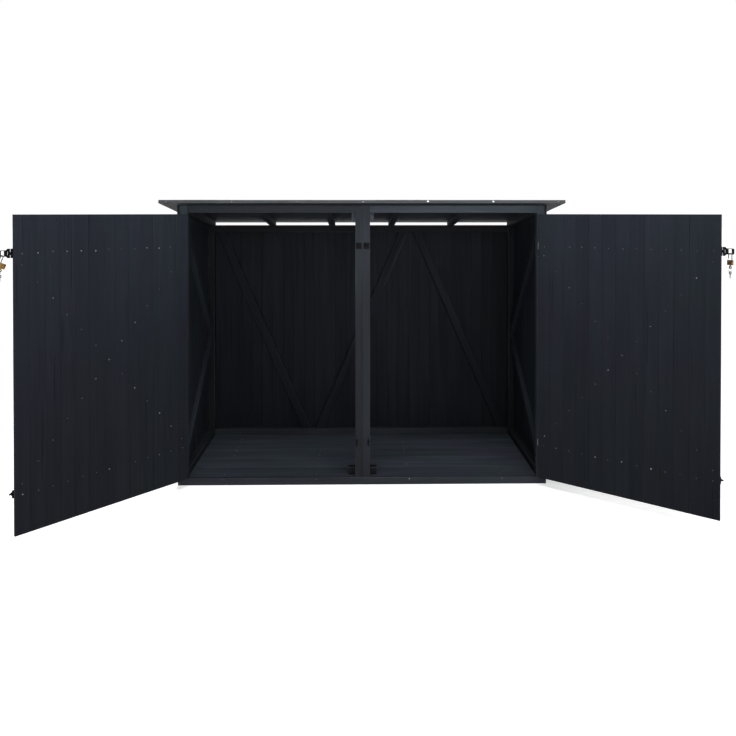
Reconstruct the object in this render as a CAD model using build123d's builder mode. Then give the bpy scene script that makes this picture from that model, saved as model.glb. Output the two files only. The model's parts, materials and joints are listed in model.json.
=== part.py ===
from build123d import *
from math import cos, radians, sin, tan
import os

# A low timber bike shelter: boarded walls on a light frame, a single-pitch felted roof that falls
# to the back, and two boarded doors that hang on strap hinges and stand wide open.
# X runs to the right, Y to the back and Z up, in millimetres. The origin is under the middle of
# the front sill, on the ground.

os.makedirs("parts", exist_ok=True)

# Driving sizes of the body
body_width = 1900
body_depth = 750
front_height = 1440            # ground to the underside of the roof boards, at the front face
roof_fall = 7                  # degrees, falling to the back
stud = 38                      # square framing timber
cladding = 12                  # tongued and grooved wall and door boards

# Floor
sill_thickness = 16
sill_height = 38
floor_board = 12
bearer_width = 38
bearer_pitch = 480
bearer_count = 4

# Roof
rafter_width = 38
rafter_height = 28
rafter_pitch = 366
rafter_count = 4
roof_board = 15
felt = 2.5
roof_side_overhang = 70
roof_front_overhang = 80
roof_back_overhang = 60

# Doors
hinge_gap = 5                  # door edge to corner post
meeting_gap = 10               # door edge to centre post
head_gap = 7                   # door top to head rail
foot_gap = 12                  # door foot to sill
ledge_thickness = 20
ledge_height = 70
ledge_setback = 15             # ledges and braces short of the free edge
brace_width = 60
upper_ledge_drop = 163         # door top to the middle of the upper ledge
lower_ledge_rise = 168         # door foot to the middle of the lower ledge
left_open = 132                # degrees open, as they stand
right_open = 142

# Stop blocks behind the centre post
stop_depth = 38
stop_height = 38
upper_stop_width = 116
lower_stop_width = 150

# Wall braces
wall_brace_width = 45
wall_brace_thickness = 25
back_brace_room = 40           # brace ends to the corners of their bay
brace_meet_gap = 10            # between the two braces of a side at the back post
side_brace_meet = 650          # height at which the two braces of a side meet the back post

# Ironmongery
plate = 2.5                    # thickness of straps and plates
plate_corner = 3               # rounding of their corners
pin_setback = 8                # hinge pin outside the inner edge of the corner post
barrel_radius = 5
barrel_seat = 1                # barrel to the face behind it
knuckle_gap = 0.4
strap_length = 300
strap_root = 40
strap_tip = 25
strap_tip_round = 9
hinge_plate_height = 110
hinge_plate_width = 26
hasp_plate_length = 60
hasp_plate_height = 40
hasp_barrel_radius = 4.5
hasp_pin_reach = 3.5           # hasp pin beyond the free edge of the door
hasp_strap_height = 27
hasp_end_round = 5
hasp_flare = 6                 # the strap widens to its knuckles over this length
hasp_flare_round = 5
hasp_reach = 44.5              # strap end past the door edge
slot_width = 12
slot_height = 22
slot_reach = 28                # slot middle past the door edge
staple_plate_width = 30
staple_plate_height = 32
staple_wire = 4
staple_bend = 4
staple_height = 14
staple_reach = 18.5            # staple out from its plate
staple_rise = 2                # staple above the middle of the slot, to leave room for a shackle
bolt_radius = 4
bolt_length = 95
bolt_nose = 6.5                # bolt end past the door edge when drawn back
bolt_chamfer = 1
bolt_plate_inset = 2           # bolt plate behind the free edge of the door
bolt_plate_length = 70
bolt_plate_height = 34
bolt_clearance = 1
bolt_seat = 2                  # bolt off its plate
guide_width = 10
guide_wall = 2
keeper_offset = 30             # keeper middle from the middle of the front
keeper_width = 9
knob_radius = 5
knob_reach = 20
knob_round = 2

# Places worked out from the sizes
half = body_width / 2
front = -sill_thickness / 2
back = front + body_depth
fall = tan(radians(roof_fall))
floor_top = sill_height
wall_inner = half - cladding
post_inner = wall_inner - stud
back_inner = back - cladding
frame_back = back_inner - stud
door_foot = sill_height + foot_gap
head_rail_foot = front_height - stud
door_top = head_rail_foot - head_gap
hinge_edge = post_inner - hinge_gap
free_edge = stud + meeting_gap
door_width = hinge_edge - free_edge
pin_x = post_inner + pin_setback
pin_y = front - barrel_seat - barrel_radius
upper_ledge = door_top - upper_ledge_drop
lower_ledge = door_foot + lower_ledge_rise
hasp_pin_x = free_edge - hasp_pin_reach
hasp_pin_y = front - barrel_seat - barrel_radius


def roof_line(y):
    """Height of the underside of the roof boards at depth y."""
    return front_height - (y - front) * fall


def save(piece, name):
    piece.label = name
    export_step(piece, f"parts/{name}.step")


def timber(x0, x1, y0, y1, z0, z1):
    """A square-cut length of timber between two corners."""
    with BuildPart() as length:
        with BuildSketch(Plane.XY.offset(z0)):
            with Locations(((x0 + x1) / 2, (y0 + y1) / 2)):
                Rectangle(abs(x1 - x0), y1 - y0)
        extrude(amount=z1 - z0)
    return length.part


def side_profile(points, x0, x1):
    """A piece with an outline in the depth and height plane, from x0 to x1."""
    low, high = min(x0, x1), max(x0, x1)
    with BuildPart() as piece:
        with BuildSketch(Plane.YZ.offset(low)):
            with BuildLine():
                Polyline(*points, close=True)
            make_face()
        extrude(amount=high - low)
    return piece.part


# Floor: a sill all round, bearers from front to back and boards on top
save(timber(-half, half, front, front + sill_thickness, 0, sill_height), "front_sill")
save(timber(-half, half, back - sill_thickness, back, 0, sill_height), "back_sill")
sill_inner_front = front + sill_thickness
sill_inner_back = back - sill_thickness
bearer_top = sill_height - floor_board

with BuildPart() as floor_end_rails:
    with BuildSketch():
        with GridLocations(body_width - sill_thickness, 0, 2, 1):
            with Locations((0, (front + back) / 2)):
                Rectangle(sill_thickness, sill_inner_back - sill_inner_front)
    extrude(amount=sill_height)
save(floor_end_rails.part, "floor_end_rails")

with BuildPart() as floor_bearers:
    with BuildSketch():
        with Locations((0, (front + back) / 2)):
            with GridLocations(bearer_pitch, 0, bearer_count, 1):
                Rectangle(bearer_width, sill_inner_back - sill_inner_front)
    extrude(amount=bearer_top)
save(floor_bearers.part, "floor_bearers")

save(timber(-half + sill_thickness, half - sill_thickness, sill_inner_front, sill_inner_back,
            bearer_top, floor_top), "floor_boards")


# Front frame: corner posts, a centre post in two halves and two head rails
def post(x0, x1, y0, y1):
    """A post from the floor to the roof boards, its top cut to the fall."""
    return side_profile([(y0, floor_top), (y1, floor_top), (y1, roof_line(y1)),
                         (y0, roof_line(y0))], x0, x1)


front_frame_back = front + stud
for side, name in ((-1, "left"), (1, "right")):
    save(post(side * post_inner, side * wall_inner, front, front_frame_back), f"front_post_{name}")
    save(post(0, side * stud, front, front_frame_back), f"centre_post_{name}")
    save(side_profile([(front, head_rail_foot), (front_frame_back, head_rail_foot),
                       (front_frame_back, roof_line(front_frame_back)), (front, roof_line(front))],
                      side * stud, side * post_inner), f"head_rail_{name}")

# Back frame: two posts, a top rail bevelled under the rafters and a bottom rail
back_rail_foot = roof_line(back_inner) - rafter_height - stud
for side, name in ((-1, "left"), (1, "right")):
    save(post(side * post_inner, side * wall_inner, frame_back, back_inner), f"back_post_{name}")
save(side_profile([(frame_back, back_rail_foot), (back_inner, back_rail_foot),
                   (back_inner, roof_line(back_inner) - rafter_height),
                   (frame_back, roof_line(frame_back) - rafter_height)],
                  -post_inner, post_inner), "back_top_rail")
save(timber(-post_inner, post_inner, frame_back, back_inner, floor_top, floor_top + stud),
     "back_bottom_rail")

# Side frames: a bottom rail and a sloping top rail from front post to back post
with BuildPart() as side_bottom_rails:
    with BuildSketch(Plane.XY.offset(floor_top)):
        with Locations((0, (front_frame_back + frame_back) / 2)):
            with GridLocations(2 * post_inner + stud, 0, 2, 1):
                Rectangle(stud, frame_back - front_frame_back)
    extrude(amount=stud)
save(side_bottom_rails.part, "side_bottom_rails")

side_rail_outline = [(front_frame_back, roof_line(front_frame_back) - stud),
                     (frame_back, roof_line(frame_back) - stud),
                     (frame_back, roof_line(frame_back)),
                     (front_frame_back, roof_line(front_frame_back))]
with BuildPart() as side_top_rails:
    for side in (-1, 1):
        with BuildSketch(Plane.YZ.offset(side * (post_inner + stud / 2) - stud / 2)):
            with BuildLine():
                Polyline(*side_rail_outline, close=True)
            make_face()
        extrude(amount=stud)
save(side_top_rails.part, "side_top_rails")

# Wall boards: sides up to the roof, the back lower by the vent gap
side_board_outline = [(front, floor_top), (back, floor_top), (back, roof_line(back)),
                      (front, front_height)]
save(side_profile(side_board_outline, -half, -wall_inner), "left_wall")
save(side_profile(side_board_outline, wall_inner, half), "right_wall")
save(timber(-wall_inner, wall_inner, back_inner, back, floor_top, roof_line(back) - rafter_height),
     "back_wall")

# Zigzag braces, three on the back wall and two on each side
brace_low = floor_top + stud
brace_high = back_rail_foot
bay = 2 * post_inner / 3

back_plane = Plane(origin=(0, back_inner, 0), x_dir=(1, 0, 0), z_dir=(0, -1, 0))
back_runs = ((-bay / 2 - back_brace_room, -post_inner + back_brace_room),
             (-bay / 2 + back_brace_room, bay / 2 - back_brace_room),
             (post_inner - back_brace_room, bay / 2 + back_brace_room))
with BuildPart() as back_braces:
    for foot_x, head_x in back_runs:
        slant = Vector(head_x - foot_x, brace_high - brace_low, 0)
        lean = wall_brace_width * slant.length / slant.Y
        with BuildSketch(back_plane):
            with BuildLine():
                Polyline((foot_x - lean / 2, brace_low), (foot_x + lean / 2, brace_low),
                         (head_x + lean / 2, brace_high), (head_x - lean / 2, brace_high), close=True)
            make_face()
        extrude(amount=wall_brace_thickness)
save(back_braces.part, "back_braces")

for side, name in ((-1, "left"), (1, "right")):
    top_front = roof_line(front_frame_back) - stud
    skin, inner = side * wall_inner, side * (wall_inner - wall_brace_thickness)
    with BuildPart() as side_braces:
        for end, turn in ((brace_low, 1), (top_front, -1)):
            meet = side_brace_meet - turn * brace_meet_gap / 2
            slant = Vector(frame_back - front_frame_back, meet - end, 0)
            lean = turn * wall_brace_width * slant.length / slant.X
            with BuildSketch(Plane.YZ.offset(min(skin, inner))):
                with BuildLine():
                    Polyline((front_frame_back, end), (front_frame_back, end + lean),
                             (frame_back, meet), (frame_back, meet - lean), close=True)
                make_face()
            extrude(amount=wall_brace_thickness)
    save(side_braces.part, f"{name}_wall_braces")

# Roof: rafters, boards and a felt sheet turned down at the edges
rafter = side_profile([(front_frame_back, roof_line(front_frame_back) - rafter_height),
                       (back, roof_line(back) - rafter_height), (back, roof_line(back)),
                       (front_frame_back, roof_line(front_frame_back))],
                      -rafter_width / 2, rafter_width / 2)
with BuildPart() as rafters:
    with GridLocations(rafter_pitch, 0, rafter_count, 1):
        add(rafter)
save(rafters.part, "rafters")

eaves_front = front - roof_front_overhang
roof_length = (body_depth + roof_front_overhang + roof_back_overhang) / cos(radians(roof_fall))
roof_width = body_width + 2 * roof_side_overhang
roof_plane = Plane(origin=(0, eaves_front, roof_line(eaves_front)), x_dir=(1, 0, 0),
                   z_dir=(0, sin(radians(roof_fall)), cos(radians(roof_fall))))
with BuildPart() as roof_boards:
    with BuildSketch(roof_plane):
        with Locations((0, roof_length / 2)):
            Rectangle(roof_width, roof_length)
    extrude(amount=roof_board)
save(roof_boards.part, "roof_boards")

with BuildPart() as roof_felt:
    with BuildSketch(roof_plane):
        with Locations((0, roof_length / 2)):
            Rectangle(roof_width + 2 * felt, roof_length + 2 * felt)
    extrude(amount=roof_board + felt)
    with BuildSketch(roof_plane):
        with Locations((0, roof_length / 2)):
            Rectangle(roof_width, roof_length)
    extrude(amount=roof_board, mode=Mode.SUBTRACT)
save(roof_felt.part, "roof_felt")

# Stop blocks: the closed doors meet them behind the centre post
with BuildPart() as stop_blocks:
    for width, foot in ((upper_stop_width, head_rail_foot - stop_height),
                        (lower_stop_width, floor_top)):
        with BuildSketch(Plane.XY.offset(foot)):
            with Locations((0, front_frame_back + stop_depth / 2)):
                Rectangle(width, stop_depth)
        extrude(amount=stop_height)
save(stop_blocks.part, "stop_blocks")

# Lock irons on the centre post: staples for the hasps, keepers for the bolts
root, bow_out = front - plate / 2, front - plate - staple_reach + staple_wire / 2
leg_low = upper_ledge + staple_rise - (staple_height - staple_wire) / 2
leg_high = leg_low + staple_height - staple_wire
with BuildPart() as staples:
    for side in (-1, 1):
        staple_x = side * (free_edge - slot_reach)
        with BuildSketch(Plane.XZ.offset(-front)):
            with Locations((staple_x, upper_ledge)):
                RectangleRounded(staple_plate_width, staple_plate_height, plate_corner)
        extrude(amount=plate)
        with BuildLine(Plane.YZ.offset(staple_x)) as bow:
            FilletPolyline((root, leg_low), (bow_out, leg_low), (bow_out, leg_high), (root, leg_high),
                           radius=staple_bend)
        with BuildSketch(Plane(origin=bow.line @ 0, z_dir=bow.line % 0)):
            Circle(staple_wire / 2)
        sweep(path=bow.line)
save(staples.part, "staples")

bolt_y = front - guide_wall - bolt_seat - bolt_radius
guide_hole = bolt_radius + bolt_clearance
guide_arch = guide_hole + guide_wall
with BuildPart() as bolt_keepers:
    for side in (-1, 1):
        with BuildSketch(Plane.YZ.offset(side * keeper_offset - keeper_width / 2)):
            with Locations(((front + bolt_y) / 2, lower_ledge)):
                Rectangle(front - bolt_y, 2 * guide_arch)
            with Locations((front - guide_wall / 2, lower_ledge)):
                Rectangle(guide_wall, bolt_plate_height)
            with Locations((bolt_y, lower_ledge)):
                Circle(guide_arch)
                Circle(guide_hole, mode=Mode.SUBTRACT)
        extrude(amount=keeper_width)
save(bolt_keepers.part, "bolt_keepers")

# Hinge halves on the corner posts: a plate on the post, two knuckles and the pin
knuckle = hinge_plate_height / 3
with BuildPart() as hinge_plates:
    for side in (-1, 1):
        for middle in (upper_ledge, lower_ledge):
            with BuildSketch(Plane.XZ.offset(-front)) as flap:
                with Locations((side * (pin_x + hinge_plate_width / 2), middle)):
                    Rectangle(hinge_plate_width, hinge_plate_height)
                fillet(flap.vertices().group_by(Axis.X)[-1 if side > 0 else 0], plate_corner)
                with Locations((side * pin_x, middle)):
                    Rectangle(2 * (barrel_radius + knuckle_gap), knuckle, mode=Mode.SUBTRACT)
            extrude(amount=plate)
            foot = middle - hinge_plate_height / 2
            for level in (foot, foot + 2 * knuckle):
                with BuildSketch(Plane.XY.offset(level)):
                    with Locations((side * pin_x, pin_y)):
                        Circle(barrel_radius)
                extrude(amount=knuckle)
save(hinge_plates.part, "hinge_plates")


# Doors: each leaf is made closed, then turned about its pins to where it stands
def door_leaf(side, name, opening):
    pins = Axis((side * pin_x, pin_y, 0), (0, 0, side))
    outer = front
    boards_face = front + ledge_thickness
    boards_back = boards_face + cladding
    near, far = side * free_edge, side * hinge_edge
    ledge_near = side * (free_edge + ledge_setback)

    def hang(piece, label):
        save(piece.rotate(pins, opening), f"{name}_{label}")

    hang(timber(near, far, boards_face, boards_back, door_foot, door_top), "door_boards")
    for level, word in ((upper_ledge, "top_ledge"), (lower_ledge, "bottom_ledge")):
        hang(timber(ledge_near, far, outer, boards_face, level - ledge_height / 2,
                    level + ledge_height / 2), word)

    low, high = lower_ledge + ledge_height / 2, upper_ledge - ledge_height / 2
    run = Vector(door_width - ledge_setback, high - low, 0)
    lean = brace_width * run.length / run.Y
    with BuildPart() as long_brace:
        with BuildSketch(Plane.XZ.offset(-boards_face)):
            with BuildLine():
                Polyline((far, low), (far - side * lean, low), (ledge_near, high),
                         (ledge_near + side * lean, high), close=True)
            make_face()
        extrude(amount=ledge_thickness)
    with BuildPart() as short_braces:
        with BuildSketch(Plane.XZ.offset(-boards_face)):
            with BuildLine():
                Polyline((ledge_near, low), (ledge_near + side * lean, low), (far, high),
                         (far - side * lean, high), close=True)
            make_face()
        extrude(amount=ledge_thickness)
        add(long_brace.part, mode=Mode.SUBTRACT)
    hang(long_brace.part, "door_long_brace")
    hang(short_braces.part, "door_short_braces")

    strap_far = side * (pin_x - strap_length)
    strap_neck = side * (pin_x - barrel_radius - knuckle_gap)
    knuckle_half = knuckle / 2 - knuckle_gap
    with BuildPart() as hinges:
        for level in (upper_ledge, lower_ledge):
            with BuildSketch(Plane.XZ.offset(-outer)) as strap:
                with BuildLine():
                    Polyline((side * pin_x, level - knuckle_half), (side * pin_x, level + knuckle_half),
                             (strap_neck, level + knuckle_half), (far, level + strap_root / 2),
                             (strap_far, level + strap_tip / 2), (strap_far, level - strap_tip / 2),
                             (far, level - strap_root / 2), (strap_neck, level - knuckle_half),
                             close=True)
                make_face()
                fillet(strap.vertices().group_by(Axis.X)[0 if side > 0 else -1], strap_tip_round)
            extrude(amount=plate)
            with BuildSketch(Plane.XY.offset(level - knuckle_half)):
                with Locations((side * pin_x, pin_y)):
                    Circle(barrel_radius)
            extrude(amount=2 * knuckle_half)
    hang(hinges.part, "door_hinges")

    hasp_axis_x = side * hasp_pin_x
    hasp_knuckle = hasp_plate_height / 3
    notch = 2 * (hasp_barrel_radius + knuckle_gap)
    with BuildPart() as hasp_leaf:
        with BuildSketch(Plane.XZ.offset(-outer)) as flap:
            with Locations((hasp_axis_x + side * hasp_plate_length / 2, upper_ledge)):
                Rectangle(hasp_plate_length, hasp_plate_height)
            fillet(flap.vertices().group_by(Axis.X)[-1 if side > 0 else 0], plate_corner)
            with Locations((hasp_axis_x, upper_ledge - hasp_knuckle),
                           (hasp_axis_x, upper_ledge + hasp_knuckle)):
                Rectangle(notch, hasp_knuckle, mode=Mode.SUBTRACT)
        extrude(amount=plate)
        with BuildSketch(Plane.XY.offset(upper_ledge - hasp_knuckle / 2)):
            with Locations((hasp_axis_x, hasp_pin_y)):
                Circle(hasp_barrel_radius)
        extrude(amount=hasp_knuckle)
    hang(hasp_leaf.part, "hasp_leaf")

    strap_front = hasp_pin_y - hasp_barrel_radius
    strap_end = side * (free_edge - hasp_reach)
    shoulder, root = (side * (hasp_pin_x - hasp_barrel_radius - run_in) for run_in in (hasp_flare, 0))
    wide, slim = hasp_plate_height / 2, hasp_strap_height / 2
    upper_half = [(hasp_axis_x, wide), (root, wide), (shoulder, slim), (strap_end, slim)]
    lower_half = [(x, -z) for x, z in reversed(upper_half)]
    with BuildPart() as hasp_strap:
        with BuildSketch(Plane.XZ.offset(-(strap_front + plate))) as strap:
            with BuildLine():
                Polyline(*[(x, upper_ledge + z) for x, z in upper_half + lower_half], close=True)
            make_face()
            fillet(strap.vertices().group_by(Axis.X)[1 if side > 0 else -2], hasp_flare_round)
            fillet(strap.vertices().group_by(Axis.X)[0 if side > 0 else -1], hasp_end_round)
            with Locations((side * (free_edge - slot_reach), upper_ledge)):
                Rectangle(slot_width, slot_height, mode=Mode.SUBTRACT)
            with Locations((hasp_axis_x, upper_ledge)):
                Rectangle(notch, hasp_knuckle + 2 * knuckle_gap, mode=Mode.SUBTRACT)
        extrude(amount=plate)
        for start in (-wide, hasp_knuckle / 2 + knuckle_gap):
            with BuildSketch(Plane.XY.offset(upper_ledge + start)):
                with Locations((hasp_axis_x, hasp_pin_y)):
                    Circle(hasp_barrel_radius)
            extrude(amount=hasp_knuckle - knuckle_gap)
    hang(hasp_strap.part, "hasp_strap")

    plate_near = free_edge + bolt_plate_inset
    with BuildPart() as bolt_guides:
        with BuildSketch(Plane.XZ.offset(-outer)):
            with Locations((side * (plate_near + bolt_plate_length / 2), lower_ledge)):
                RectangleRounded(bolt_plate_length, bolt_plate_height, plate_corner)
        extrude(amount=guide_wall)
        for start in (plate_near, plate_near + bolt_plate_length - guide_width):
            with BuildSketch(Plane.YZ.offset(min(side * start, side * (start + guide_width)))):
                with Locations(((outer + bolt_y) / 2, lower_ledge)):
                    Rectangle(outer - bolt_y, 2 * guide_arch)
                with Locations((bolt_y, lower_ledge)):
                    Circle(guide_arch)
                    Circle(guide_hole, mode=Mode.SUBTRACT)
            extrude(amount=guide_width)
    hang(bolt_guides.part, "bolt_guides")

    bolt_near = free_edge - bolt_nose
    knob_x = side * (plate_near + bolt_plate_length - 2 * guide_width - knob_radius)
    with BuildPart() as bolt:
        with BuildSketch(Plane.YZ.offset(min(side * bolt_near, side * (bolt_near + bolt_length)))):
            with Locations((bolt_y, lower_ledge)):
                Circle(bolt_radius)
        extrude(amount=bolt_length)
        chamfer(bolt.faces().sort_by(Axis.X)[0 if side > 0 else -1].edges(), bolt_chamfer)
        with BuildSketch(Plane.XZ.offset(-bolt_y)):
            with Locations((knob_x, lower_ledge)):
                Circle(knob_radius)
        extrude(amount=knob_reach)
        fillet(bolt.faces().sort_by(Axis.Y)[0].edges(), knob_round)
    hang(bolt.part, "bolt")


door_leaf(-1, "left", left_open)
door_leaf(1, "right", right_open)
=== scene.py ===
import json
from math import cos, pi, radians, sin
from random import Random

import bmesh
import bpy
from mathutils import Matrix, Vector


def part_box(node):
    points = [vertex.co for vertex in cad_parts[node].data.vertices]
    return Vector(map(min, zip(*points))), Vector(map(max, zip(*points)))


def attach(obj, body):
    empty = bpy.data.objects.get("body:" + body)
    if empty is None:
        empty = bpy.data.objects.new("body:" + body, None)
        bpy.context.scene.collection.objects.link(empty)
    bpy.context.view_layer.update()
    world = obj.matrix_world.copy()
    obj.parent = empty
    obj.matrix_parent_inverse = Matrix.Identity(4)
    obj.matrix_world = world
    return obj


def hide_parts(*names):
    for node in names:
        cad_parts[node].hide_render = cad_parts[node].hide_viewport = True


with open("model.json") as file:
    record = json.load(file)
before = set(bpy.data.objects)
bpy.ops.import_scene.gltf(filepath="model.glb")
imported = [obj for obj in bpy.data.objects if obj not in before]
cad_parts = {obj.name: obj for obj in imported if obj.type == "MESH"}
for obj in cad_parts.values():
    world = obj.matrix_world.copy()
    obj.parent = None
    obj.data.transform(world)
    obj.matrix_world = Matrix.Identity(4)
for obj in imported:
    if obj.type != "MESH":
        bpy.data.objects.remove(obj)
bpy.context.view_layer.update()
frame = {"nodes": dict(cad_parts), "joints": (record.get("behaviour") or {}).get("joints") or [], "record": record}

# Sills, end rails and bearers
# Sawn and planed spruce, painted with a blue-black water stain that lets the grain through. The
# sill stands on edge all round, and the bearers run from front to back between its two long sides.

X, Y, Z = Vector((1, 0, 0)), Vector((0, 1, 0)), Vector((0, 0, 1))
chance = Random(11)


def add(tree, kind, inputs=None, **settings):
    """A node with its settings, its input values and the sockets that feed it."""
    made = tree.nodes.new(kind)
    for key, value in settings.items():
        setattr(made, key, value)
    for key, value in (inputs or {}).items():
        if isinstance(value, bpy.types.NodeSocket):
            tree.links.new(value, made.inputs[key])
        else:
            made.inputs[key].default_value = value
    return made


def out(tree, kind, inputs=None, **settings):
    """The first output of a node."""
    return add(tree, kind, inputs, **settings).outputs[0]


def maths(tree, operation, a, b=0.0, c=0.0):
    return out(tree, "ShaderNodeMath", {0: a, 1: b, 2: c}, operation=operation)


def ramp(tree, value, low, high, to_low=0.0, to_high=1.0):
    """The value carried from one span to another, and held at its ends."""
    return out(tree, "ShaderNodeMapRange", {0: value, 1: low, 2: high, 3: to_low, 4: to_high})


def blended(tree, factor, a, b, mode="MIX"):
    return add(tree, "ShaderNodeMix", {0: factor, 6: a, 7: b}, data_type="RGBA",
               blend_type=mode).outputs[2]


def vectors(tree, operation, a, b):
    return out(tree, "ShaderNodeVectorMath", {0: a, 1: b}, operation=operation)


def scaled(tree, vector, factor):
    return out(tree, "ShaderNodeVectorMath", {0: vector, "Scale": factor}, operation="SCALE")


def length_of(tree, vector):
    return add(tree, "ShaderNodeVectorMath", {0: vector}, operation="LENGTH").outputs["Value"]


def noise(tree, vector, scale, detail=3.0, roughness=0.55):
    """Noise stretched along the axes by a scale for each."""
    laid = vectors(tree, "MULTIPLY", vector, scale)
    return add(tree, "ShaderNodeTexNoise", {"Vector": laid, "Scale": 1.0, "Detail": detail,
                                            "Roughness": roughness}).outputs["Fac"]


def attribute(tree, name, output="Fac"):
    return add(tree, "ShaderNodeAttribute", attribute_name=name).outputs[output]


def own_place(tree):
    """Where a point lies in the shelter's frame, in metres."""
    return add(tree, "ShaderNodeTexCoord").outputs["Object"]


def finish(name, **shader_values):
    """An empty material with a surface shader that has these values."""
    material = bpy.data.materials.new(name)
    material.use_nodes = True
    tree = material.node_tree
    tree.nodes.clear()
    surface = add(tree, "ShaderNodeBsdfPrincipled", shader_values)
    add(tree, "ShaderNodeOutputMaterial", {"Surface": surface.outputs[0]})
    return material, tree, surface


def feed(tree, surface, colour, roughness, height=None, relief=0.0, strength=0.5):
    """Links a colour, a roughness and a bump of so many metres to a surface shader."""
    tree.links.new(colour, surface.inputs["Base Color"])
    tree.links.new(roughness, surface.inputs["Roughness"])
    if height is not None:
        bump = add(tree, "ShaderNodeBump", {"Height": height, "Distance": relief, "Strength": strength})
        tree.links.new(bump.outputs[0], surface.inputs["Normal"])


ring_spacing = 0.0052          # from one year ring to the next
knot_cell = Vector((0.42, 0.075, 0.30))
knot_radius = 0.0065
bare_wood = (0.060, 0.060, 0.062, 1)
painted_light_height = 1.4             # where the painted light from above reaches its full tone
sanded = 0.0016                # how far sandpaper has taken the arrises off


def stained_timber(name, deep, thin, scuffed=0.0, painted_light_by_height=(0.0, 0.0), figure=1.0):
    """Blue-black stain on softwood: year rings, streaks, knots and arrises rubbed to the wood.

    The tone in stops at the foot and the head of the shelter is painted light and shade, lighter where
    light falls from above, and figure gives how strong the streaks are."""
    material, tree, surface = finish(name, **{"Specular IOR Level": 0.09})
    grain = attribute(tree, "grain", "Vector")
    streaks = noise(tree, grain, (1.3, 55, 55), 5.0, 0.62)
    broad = noise(tree, grain, (1.6, 9, 9))
    clouds = noise(tree, grain, (2.6, 6, 6))
    pores = noise(tree, grain, (28, 900, 900), 2.0)
    checks = ramp(tree, noise(tree, grain, (1.5, 95, 95), 1.0), 0.715, 0.75)
    scratches = ramp(tree, noise(tree, grain, (4.5, 150, 150), 1.0), 0.73, 0.80)

    radius = length_of(tree, vectors(tree, "MULTIPLY", grain, (0, 1, 1)))
    wobble = noise(tree, grain, (1.4, 4, 4), 2.0)
    bent = maths(tree, "MULTIPLY_ADD", wobble, 0.030, radius)
    turns = maths(tree, "FRACT", maths(tree, "DIVIDE", bent, ring_spacing))
    latewood = ramp(tree, turns, 0.45, 0.95)
    latewood = maths(tree, "MULTIPLY", latewood, ramp(tree, turns, 1.0, 0.95))

    cells = vectors(tree, "DIVIDE", grain, knot_cell)
    nearest = add(tree, "ShaderNodeTexVoronoi", {"Vector": cells, "Scale": 1.0, "Randomness": 0.85})
    offset = vectors(tree, "SUBTRACT", cells, nearest.outputs["Position"])
    flat = vectors(tree, "MULTIPLY", offset, (knot_cell.x * 0.8, knot_cell.y, 0))
    reach = maths(tree, "MULTIPLY_ADD", streaks, 0.003, length_of(tree, flat))
    knot = ramp(tree, reach, knot_radius, knot_radius * 0.65)
    halo = maths(tree, "SUBTRACT", ramp(tree, reach, knot_radius * 2.1, knot_radius), knot)

    place = own_place(tree)
    brushed = noise(tree, place, (2.3, 2.3, 1.7), 4.0, 0.6)
    middling = 0.5 - 0.28 * figure, 0.5 + 0.28 * figure
    colour = blended(tree, ramp(tree, broad, 0.33, 0.68, *middling), deep, thin)
    for patches, low, high, purple, teal in (
            (clouds, 0.35, 0.65, (1.04, 0.98, 1.03, 1), (0.96, 1.02, 0.99, 1)),
            (brushed, 0.38, 0.62, (1.04, 0.95, 1.03, 1), (0.95, 1.06, 0.99, 1))):
        tint = blended(tree, ramp(tree, patches, low, high), purple, teal)
        colour = blended(tree, 1.0, colour, tint, "MULTIPLY")
    level = add(tree, "ShaderNodeSeparateXYZ", {0: place}).outputs[2]
    # Painted light and shade: the tone in stops goes from the foot to the head, as light falls from above.
    stops = maths(tree, "ADD", attribute(tree, "tone"), ramp(tree, level, 0.0, painted_light_height, *painted_light_by_height))
    tone = maths(tree, "POWER", 2.0, stops)
    for mark, plain, marked in ((latewood, 1.03, 0.90), (halo, 1.0, 1.12), (knot, 1.0, 0.62),
                                (checks, 1.0, 0.45), (scratches, 1.0, 1.55)):
        tone = maths(tree, "MULTIPLY", tone, ramp(tree, mark, 0.0, 1.0, plain, marked))
    tone = maths(tree, "MULTIPLY", tone, ramp(tree, streaks, 0.30, 0.72, 1 - 0.13 * figure,
                                              1 + 0.15 * figure))
    toned = scaled(tree, colour, tone)
    rubbed = maths(tree, "MULTIPLY", attribute(tree, "worn"), ramp(tree, streaks, 0.50, 0.66, 0.10, 0.75))
    if scuffed:
        trodden = noise(tree, grain, (9, 26, 26), 4.0, 0.7)
        rubbed = maths(tree, "MAXIMUM", rubbed, ramp(tree, trodden, 0.60, 0.78, 0.0, scuffed))
    toned = blended(tree, rubbed, toned, bare_wood)

    rough = ramp(tree, streaks, 0.3, 0.7, 0.74, 0.56)
    height = maths(tree, "MULTIPLY_ADD", latewood, 0.35, streaks)
    height = maths(tree, "MULTIPLY_ADD", pores, -0.35, height)
    height = maths(tree, "MULTIPLY_ADD", maths(tree, "ADD", knot, checks), -0.5, height)
    feed(tree, surface, toned, rough, height, relief=0.0005, strength=0.55)
    return material


def heading(edge):
    return (edge.verts[1].co - edge.verts[0].co).normalized()


def longest(edges):
    return max(edges, key=lambda e: (round(e.calc_length(), 5), e.verts[0].co.to_tuple(4)))


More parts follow.
